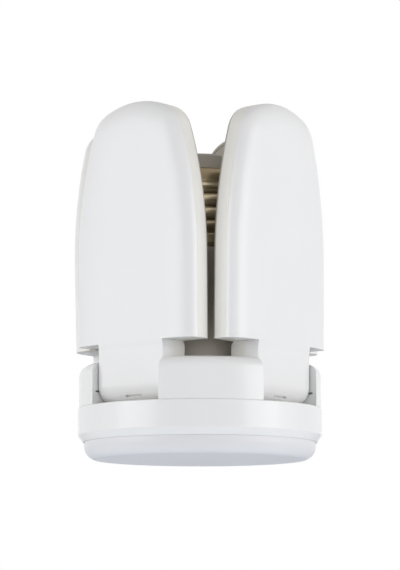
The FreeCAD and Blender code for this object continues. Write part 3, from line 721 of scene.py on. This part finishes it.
def leaf_body(name, x, away, inset, foot, profile):
    """A closed half of a leaf: its outline at x, taken away from there through (drawn in, out) steps."""
    piece = leaf_plate(name, x, inset, foot - BELOW_FOOT)
    bpy.ops.object.mode_set(mode="OBJECT")
    turned_round = piece.data.polygons[0].normal.dot(away) < 0
    bpy.ops.object.mode_set(mode="EDIT")
    if turned_round:
        bpy.ops.mesh.flip_normals()
    was_in, was_out = 0.0, 0.0
    for drawn_in, out in profile:
        if drawn_in == was_in:
            step = tuple(away * (out - was_out))
            bpy.ops.mesh.extrude_region_move(TRANSFORM_OT_translate={"value": step})
        else:
            bpy.ops.mesh.inset(thickness=drawn_in - was_in, depth=out - was_out, use_even_offset=True)
        was_in, was_out = drawn_in, out
    if profile[0][0] > 0:
        bpy.ops.mesh.select_all(action="DESELECT")
        bpy.ops.mesh.select_mode(type="EDGE")
        bpy.ops.mesh.select_non_manifold()
        bpy.ops.mesh.edge_face_add()
    cut_off((0, 0, foot), Z_AXIS)
    close_skin()
    return piece


def crown(width, depth):
    """Steps of the face's crown, steep at the outline and level where it meets the flat."""
    steps = []
    for i in range(1, CROWN_STEPS + 1):
        turn = math.pi / 2 * i / CROWN_STEPS
        steps.append((width * (1 - math.cos(turn) ** (2 / CROWN_POWER)),
                      depth * math.sin(turn) ** (2 / CROWN_POWER)))
    return steps


def both_near(first, second, value):
    return abs(first - value) < NEAR and abs(second - value) < NEAR


def soften_foot(piece, parting):
    """Round the foot's two corners and groove the parting line."""
    bevel_edges(piece, lambda a, b: both_near(a.z, b.z, LEAF_FOOT) and abs(abs(a.y) - LEAF_HALF) < 0.05
                and abs(abs(b.y) - LEAF_HALF) < 0.6 and abs(a.x - b.x) > NEAR, FOOT_ROUND, 5)
    bevel_edges(piece, lambda a, b: both_near(a.x, b.x, LEAF_SEAM), parting, 1)


def neck_half(name, corners, parting):
    """Half of the neck and knuckle: its section drawn at one side, taken across and softened."""
    piece = draw_profile(name, corners, place=lambda u, v: Vector((u, -NECK_HALF, v)))
    bpy.ops.mesh.edge_face_add()
    bpy.ops.mesh.extrude_region_move(TRANSFORM_OT_translate={"value": (0, 2 * NECK_HALF, 0)})
    bpy.ops.mesh.select_all(action="SELECT")
    bpy.ops.mesh.normals_make_consistent(inside=False)
    bpy.ops.object.mode_set(mode="OBJECT")
    bevel_edges(piece, lambda a, b: abs(a.y - b.y) < NEAR and not both_near(a.x, b.x, HINGE_R)
                and max(a.z, b.z) < LEAF_FOOT + 0.6, NECK_ROUND, 4)
    bevel_edges(piece, lambda a, b: both_near(a.x, b.x, HINGE_R) and min(a.z, b.z) < LEAF_FOOT - 0.2,
                parting, 1)
    return piece


def hollow_neck(piece):
    """Cut the wires' channel and the pin's bore."""
    x0, x1, half, z0, z1 = CHANNEL
    combine(piece, block("channel", (x0, -half, z0), (x1, half, z1)), "DIFFERENCE")
    bore = rod("bore", LEAF_BORE, (HINGE_R, -CHEEK, HINGE_Z), (HINGE_R, CHEEK, HINGE_Z))
    combine(piece, bore, "DIFFERENCE")


def arc_corners(start, end, steps):
    """Corners round the knuckle between two angles, in degrees from level outwards."""
    angles = [math.radians(start + (end - start) * i / steps) for i in range(steps + 1)]
    return [(HINGE_R + KNUCKLE_R * math.cos(a), HINGE_Z + KNUCKLE_R * math.sin(a), 0) for a in angles]


def leaf_places():
    """For each leaf, its body and the matrix from upright over +X to its own side and lean."""
    for joint in frame["joints"]:
        at = Vector(joint["pos_m"]) / MM
        hinge = Vector((at.xy.length, 0, at.z))
        lean = math.radians(-joint["range_deg"][0])
        yield joint["child"], (Matrix.Rotation(math.atan2(at.y, at.x), 4, "Z") @ Matrix.Translation(hinge)
                               @ Matrix.Rotation(lean, 4, "Y") @ Matrix.Translation(-hinge))


def place_on_leaves(piece, kind, slot, material, node_kind):
    """Finish a copy of the piece on each leaf and drop the piece itself."""
    for leaf, place in leaf_places():
        copy = copy_of(piece, leaf + "_" + kind, place)
        finish_piece(copy, leaf, slot, material, leaf + "_" + node_kind)
    bpy.data.objects.remove(piece, do_unlink=True)


class LAMP_OT_leaf_fronts(Operator):
    """Model a leaf's frosted front with the front of its neck, and copy it to the four leaves"""

    bl_idname = "lamp.leaf_fronts"
    bl_label = "Leaf fronts"

    def execute(self, context):
        sizes = context.scene.lamp_sizes
        wide, parting = sizes.crown_width / MM, sizes.parting / MM
        depth = LEAF_FACE - LEAF_SEAM
        steps = crown(wide, depth)
        front = leaf_body("front", LEAF_SEAM, X_AXIS, 0.0, LEAF_FOOT, steps + [(wide + 0.35, depth)])
        soften_foot(front, parting)
        ramp = [(HINGE_R + KNUCKLE_R + RAMP_OUT * eased(i / RAMP_STEPS),
                 RAMP_FOOT + RAMP_HIGH * i / RAMP_STEPS, 0) for i in range(RAMP_STEPS + 1)]
        neck = neck_half("neck", [(HINGE_R, NECK_TOP, 0)] + arc_corners(-90, 0, 14) + ramp
                         + [(28.885, 30.1, 0), (27.8, 30.7, 0), (25.9, 30.7, 0), (25.3, NECK_TOP, 0)],
                         parting)
        combine(front, neck, "UNION")
        inner = crown(wide - LEAF_WALL, depth - LEAF_WALL)
        hollow = leaf_body("hollow", LEAF_SEAM - CUT_PAST, X_AXIS, LEAF_WALL, LEAF_FOOT + LEAF_WALL,
                           [(0.0, CUT_PAST)] + [(drawn_in, out + CUT_PAST) for drawn_in, out in inner])
        combine(front, hollow, "DIFFERENCE")
        hollow_neck(front)
        deep, long, high = NOTCH
        notch = block("notch", (KNUCKLE_R - deep / 2, -long / 2, -high / 2),
                      (KNUCKLE_R + deep / 2, long / 2, high / 2))
        only(notch)
        notch.matrix_world = (Matrix.Translation((HINGE_R, 0, HINGE_Z))
                              @ Matrix.Rotation(math.radians(NOTCH_ANGLE), 4, "Y"))
        bpy.ops.object.transform_apply(location=True, rotation=True, scale=True)
        combine(front, notch, "DIFFERENCE")
        frosted = finish("frosted_leaf", context.scene.lamp_colours.leaf, 0.33, shade=0.03, gloss=0.5)
        place_on_leaves(front, "front", "frosted_leaf", frosted, "diffuser")
        return {"FINISHED"}


class LAMP_OT_leaf_backs(Operator):
    """Model a leaf's vented back with the back of its neck, and copy it to the four leaves"""

    bl_idname = "lamp.leaf_backs"
    bl_label = "Leaf backs"

    def execute(self, context):
        parting = context.scene.lamp_sizes.parting / MM
        depth = LEAF_SEAM - LEAF_BACK
        steps = [(0.0, depth - BACK_ROUND)]
        for i in range(1, BACK_STEPS + 1):
            turn = math.pi / 2 * i / BACK_STEPS
            steps.append((BACK_ROUND * (1 - math.cos(turn)), depth - BACK_ROUND * (1 - math.sin(turn))))
        edge, groove = BACK_ROUND + 0.2, depth - 0.2
        back = leaf_body("back", LEAF_SEAM, -X_AXIS, 0.0, LEAF_FOOT,
                         steps + [(edge, depth), (edge + 0.05, groove), (edge + 0.3, groove),
                                  (edge + 0.35, depth), (edge + 0.75, depth)])
        colours = context.scene.lamp_colours
        back.data.materials.append(finish("leaf_shell", colours.shell, 0.42, shade=0.04))
        back.data.materials.append(finish("leaf_plate", colours.plate, 0.46, shade=0.10, height=0.35))
        # Inward-facing faces take the darker plate colour, which is partly painted shade.
        for face in back.data.polygons:
            if face.center.x < LEAF_BACK + 0.9 * BACK_ROUND and face.normal.x < -0.1:
                face.material_index = 1
        soften_foot(back, parting)
        neck = neck_half("neck", [(HINGE_R, NECK_TOP, 0)] + arc_corners(-90, -180, 14)
                         + [(19.55, 28.6, 0.4), (20.3, 29.44, 0), (21.0, 30.6, 0), (23.6, 30.6, 0),
                            (23.9, NECK_TOP, 0)], parting)
        combine(back, neck, "UNION")
        hollow = leaf_body("hollow", LEAF_SEAM + CUT_PAST, -X_AXIS, LEAF_WALL, LEAF_FOOT + LEAF_WALL,
                           [(0.0, depth + CUT_PAST - LEAF_WALL)])
        combine(back, hollow, "DIFFERENCE")
        hollow_neck(back)
        for low, high in zip(SCREW_ZS, SCREW_ZS[1:]):
            first = (low + high - VENT_PITCH * (VENT_COUNT - 1)) / 2
            for i in range(VENT_COUNT):
                combine(back, vent_tool(first + i * VENT_PITCH), "DIFFERENCE")
        bevel_edges(back, self.at_vent_mouth, 0.35, 2)
        # The vents' walls and the back round them take the darker plate colour too, which is partly
        # painted shade.
        for face in back.data.polygons:
            at = face.center
            beside = abs(at.y) < VENT_HALF + 1.5 and SCREW_ZS[0] < at.z < SCREW_ZS[-1]
            if beside and at.x < LEAF_BACK + LEAF_WALL:
                face.material_index = 1
        for z in SCREW_ZS:
            combine(back, rod("pad", PAD_R, (LEAF_BACK + 0.7, 0, z), (BOARD_X, 0, z)), "UNION")
        place_on_leaves(back, "back", "leaf_shell", None, "back_shell")
        return {"FINISHED"}

    @staticmethod
    def at_vent_mouth(a, b):
        return all(abs(p.x - LEAF_BACK) < NEAR and abs(p.y) < VENT_HALF + VENT_R + 0.1
                   and SCREW_ZS[0] + 2 < p.z < SCREW_ZS[-1] - 2 for p in (a, b))


def vent_tool(z):
    """A round-ended bar that goes through the leaf's back at height z."""
    x0 = LEAF_BACK - 1
    pen = Pen("vent", (x0, VENT_HALF, z - VENT_R))
    pen.arc((x0, VENT_HALF, z), math.pi, X_AXIS, 12)
    pen.line((x0, -VENT_HALF, z + VENT_R))
    pen.arc((x0, -VENT_HALF, z), math.pi, X_AXIS, 12)
    pen.line((x0, VENT_HALF, z - VENT_R))
    pen.close()
    bpy.ops.mesh.edge_face_add()
    bpy.ops.mesh.extrude_region_move(TRANSFORM_OT_translate={"value": (1 + 2 * LEAF_WALL, 0, 0)})
    bpy.ops.mesh.select_all(action="SELECT")
    bpy.ops.mesh.normals_make_consistent(inside=False)
    bpy.ops.object.mode_set(mode="OBJECT")
    return pen.piece


class LAMP_OT_fittings(Operator):
    """Give the pins, washers, boards, chips, screws and driver parts their finishes"""

    bl_idname = "lamp.fittings"
    bl_label = "Fittings"

    def execute(self, context):
        steel = finish("screw_steel", (0.56, 0.56, 0.58), 0.32, metallic=1.0, mottle=250.0, shade=0.15)
        board = finish("board_aluminium", (0.78, 0.78, 0.76), 0.45, shade=0.05)
        chip = finish("led_chip", (0.86, 0.66, 0.16), 0.5, shade=0.1)
        copper = finish("winding_copper", (0.52, 0.20, 0.08), 0.35, metallic=1.0, shade=0.3)
        finishes = {
            "hub_screws": steel, "hinge_pins": steel, "board_screws": steel,
            "centre_led_board": board, "led_board": board, "centre_leds": chip, "leds": chip,
            "driver_inductor": copper,
            "driver_board": finish("board_fibre", (0.02, 0.10, 0.04), 0.4, shade=0.1),
            "driver_capacitor": finish("capacitor_black", (0.02, 0.02, 0.024), 0.35, shade=0.1),
            "friction_washers": finish("washer_nylon", (0.62, 0.60, 0.53), 0.5, shade=0.05)}
        for name, node in frame["nodes"].items():
            for kind, material in finishes.items():
                if name == kind or (name.startswith("leaf_") and name[7:] == kind):
                    node.data.materials.clear()
                    node.data.materials.append(material)
        return {"FINISHED"}


# ---------------------------------------------------------------- stage

CAMERA_TURN = 39.49
CAMERA_RISE = 8.422
CAMERA_AWAY = 0.580
CAMERA_Z = -0.03812
FOCAL_PIXELS, FRAME_PIXELS = 2143.7, 570
SENSOR = 36.0
LAMP_RISE, LAMP_AWAY, LAMP_SIZE = 6, 0.85, 0.55
AIM_Z = 0.045             # height that the soft lamps are aimed at
FLOOR_DROP, FLOOR_RADIUS = 0.26, 3.0
FLOOR_LIFT = 0.30         # paler for the camera alone; the shadow stays
FILL_FRONT, FILL_BACK, FILL_SIDES, FILL_ABOVE = 0.62, 0.84, 0.15, 0.20


def lamp_light(name, turn, rise, away, size, power, tint=(1.0, 1.0, 1.0)):
    """A soft square lamp aimed at the object, turn degrees round from the camera."""
    a, e = math.radians(CAMERA_TURN + turn), math.radians(rise)
    way = Vector((math.sin(a) * math.cos(e), -math.cos(a) * math.cos(e), math.sin(e)))
    bpy.ops.object.light_add(type="AREA", location=way * away + Vector((0, 0, AIM_Z)))
    light = bpy.context.object
    light.name = name
    light.data.shape = "SQUARE"
    light.data.size = size
    light.data.energy = power
    light.data.color = tint
    light.rotation_euler = way.to_track_quat("Z", "Y").to_euler()
    light.visible_camera = False


class LAMP_OT_stage(Operator):
    """Set up the floor, the soft lamps, the white surroundings and the camera"""

    bl_idname = "lamp.stage"
    bl_label = "Stage"

    def execute(self, context):
        bpy.ops.object.select_all(action="DESELECT")
        bpy.ops.mesh.primitive_circle_add(vertices=96, radius=FLOOR_RADIUS, fill_type="NGON",
                                          location=(0, 0, 0))
        floor = bpy.context.object
        floor.name = "floor"
        floor.location.z = -FLOOR_DROP
        bpy.ops.object.transform_apply(location=True, rotation=True, scale=True)
        pale = finish("pale_floor", (0.86, 0.89, 0.94), 0.7, grain=40.0, mottle=3.0, shade=0.03,
                      gloss=0.1)
        floor.data.materials.append(pale)
        tree = pale.node_tree
        shader, rays = tree.nodes["Principled BSDF"], tree.nodes.new("ShaderNodeLightPath")
        shader.inputs["Emission Color"].default_value = (1.0, 1.0, 1.0, 1.0)
        tree.links.new(math_node(tree, "MULTIPLY", rays.outputs["Is Camera Ray"], FLOOR_LIFT),
                       shader.inputs["Emission Strength"])

        for side, power in ((-1, 2.95), (1, 3.35)):
            for name, turn, share in (("wide_lamp", 82, 0.26), ("near_lamp", 60, 0.8)):
                lamp_light(name, turn * side, LAMP_RISE, LAMP_AWAY, LAMP_SIZE, power * share)
        lamp_light("low_lamp", 0, -90, 0.27, 0.40, 0.26, (0.88, 0.94, 1.0))
        self.light_surroundings(context.scene)
        self.set_camera(context.scene)
        context.scene.view_settings.view_transform = "Standard"
        return {"FINISHED"}

    def light_surroundings(self, scene):
        """White to the camera and in reflections, and a soft fill for everything else."""
        world = scene.world or bpy.data.worlds.new("surroundings")
        scene.world = world
        world.use_nodes = True
        tree = world.node_tree
        tree.nodes.clear()
        out = tree.nodes.new("ShaderNodeOutputWorld")
        sky = tree.nodes.new("ShaderNodeBackground")
        rays = tree.nodes.new("ShaderNodeLightPath")
        level = tree.nodes.new("ShaderNodeMapRange")
        level.inputs["To Max"].default_value = 1.0
        link = tree.links.new
        seen = math_node(tree, "MAXIMUM", rays.outputs["Is Camera Ray"], rays.outputs["Is Glossy Ray"])
        link(math_node(tree, "MAXIMUM", seen, rays.outputs["Is Transmission Ray"]), level.inputs["Value"])
        link(self.fill_light(tree), level.inputs["To Min"])
        link(level.outputs["Result"], sky.inputs["Strength"])
        sky.inputs["Color"].default_value = (1, 1, 1, 1)
        link(sky.outputs["Background"], out.inputs["Surface"])

    @staticmethod
    def set_camera(scene):
        turn = math.radians(CAMERA_TURN)
        place = (CAMERA_AWAY * math.sin(turn), -CAMERA_AWAY * math.cos(turn), CAMERA_Z)
        bpy.ops.object.camera_add(location=place, rotation=(math.radians(90 + CAMERA_RISE), 0, turn))
        camera = bpy.context.object
        camera.data.sensor_fit = "VERTICAL"
        camera.data.sensor_width = camera.data.sensor_height = SENSOR
        camera.data.lens = SENSOR * FOCAL_PIXELS / FRAME_PIXELS
        camera.data.clip_start = 0.01
        scene.camera = camera

    @staticmethod
    def fill_light(tree):
        """The surroundings' strength by direction: most from front and back, least from the sides."""
        def calculate(operation, first, second):
            return math_node(tree, operation, first, second)

        place = tree.nodes.new("ShaderNodeTexCoord")
        way = tree.nodes.new("ShaderNodeSeparateXYZ")
        tree.links.new(place.outputs["Generated"], way.inputs["Vector"])
        turn = math.radians(CAMERA_TURN)
        ahead = calculate("ADD", calculate("MULTIPLY", way.outputs["X"], math.sin(turn)),
                          calculate("MULTIPLY", way.outputs["Y"], -math.cos(turn)))
        front = calculate("MULTIPLY", calculate("MAXIMUM", ahead, 0.0), FILL_FRONT)
        back = calculate("MULTIPLY", calculate("MINIMUM", ahead, 0.0), -FILL_BACK)
        round_about = calculate("ADD", calculate("ADD", front, back), FILL_SIDES)
        level = calculate("SUBTRACT", 1.0, calculate("ABSOLUTE", way.outputs["Z"], 0.0))
        above = calculate("MULTIPLY", calculate("MAXIMUM", way.outputs["Z"], 0.0), FILL_ABOVE)
        return calculate("ADD", calculate("MULTIPLY", round_about, level), above)


# ---------------------------------------------------------------- panel and run

OPERATORS = (LAMP_OT_lens, LAMP_OT_bezel, LAMP_OT_hub, LAMP_OT_column, LAMP_OT_cap, LAMP_OT_insulator,
             LAMP_OT_contact, LAMP_OT_leaf_fronts, LAMP_OT_leaf_backs, LAMP_OT_fittings, LAMP_OT_stage)


class VIEW3D_PT_lamp(Panel):
    """Lists the lamp's sizes, colours and pieces in the sidebar"""

    bl_label = "Folding garage lamp"
    bl_space_type = "VIEW_3D"
    bl_region_type = "UI"
    bl_category = "Lamp"

    def draw(self, context):
        for group in (context.scene.lamp_sizes, context.scene.lamp_colours):
            box = self.layout.box()
            for name in group.__annotations__:
                box.prop(group, name)
        for operator in OPERATORS:
            self.layout.operator(operator.bl_idname)


CLASSES = (LampSizes, LampColours) + OPERATORS + (VIEW3D_PT_lamp,)


def register():
    for cls in CLASSES:
        bpy.utils.register_class(cls)
    bpy.types.Scene.lamp_sizes = PointerProperty(type=LampSizes)
    bpy.types.Scene.lamp_colours = PointerProperty(type=LampColours)


def unregister():
    del bpy.types.Scene.lamp_sizes
    del bpy.types.Scene.lamp_colours
    for cls in reversed(CLASSES):
        bpy.utils.unregister_class(cls)


def main():
    register()
    bpy.ops.lamp.lens()
    bpy.ops.lamp.bezel()
    bpy.ops.lamp.hub()
    bpy.ops.lamp.column()
    bpy.ops.lamp.cap()
    bpy.ops.lamp.insulator()
    bpy.ops.lamp.contact()
    bpy.ops.lamp.leaf_fronts()
    bpy.ops.lamp.leaf_backs()
    bpy.ops.lamp.fittings()
    bpy.ops.lamp.stage()


if __name__ == "__main__":
    main()
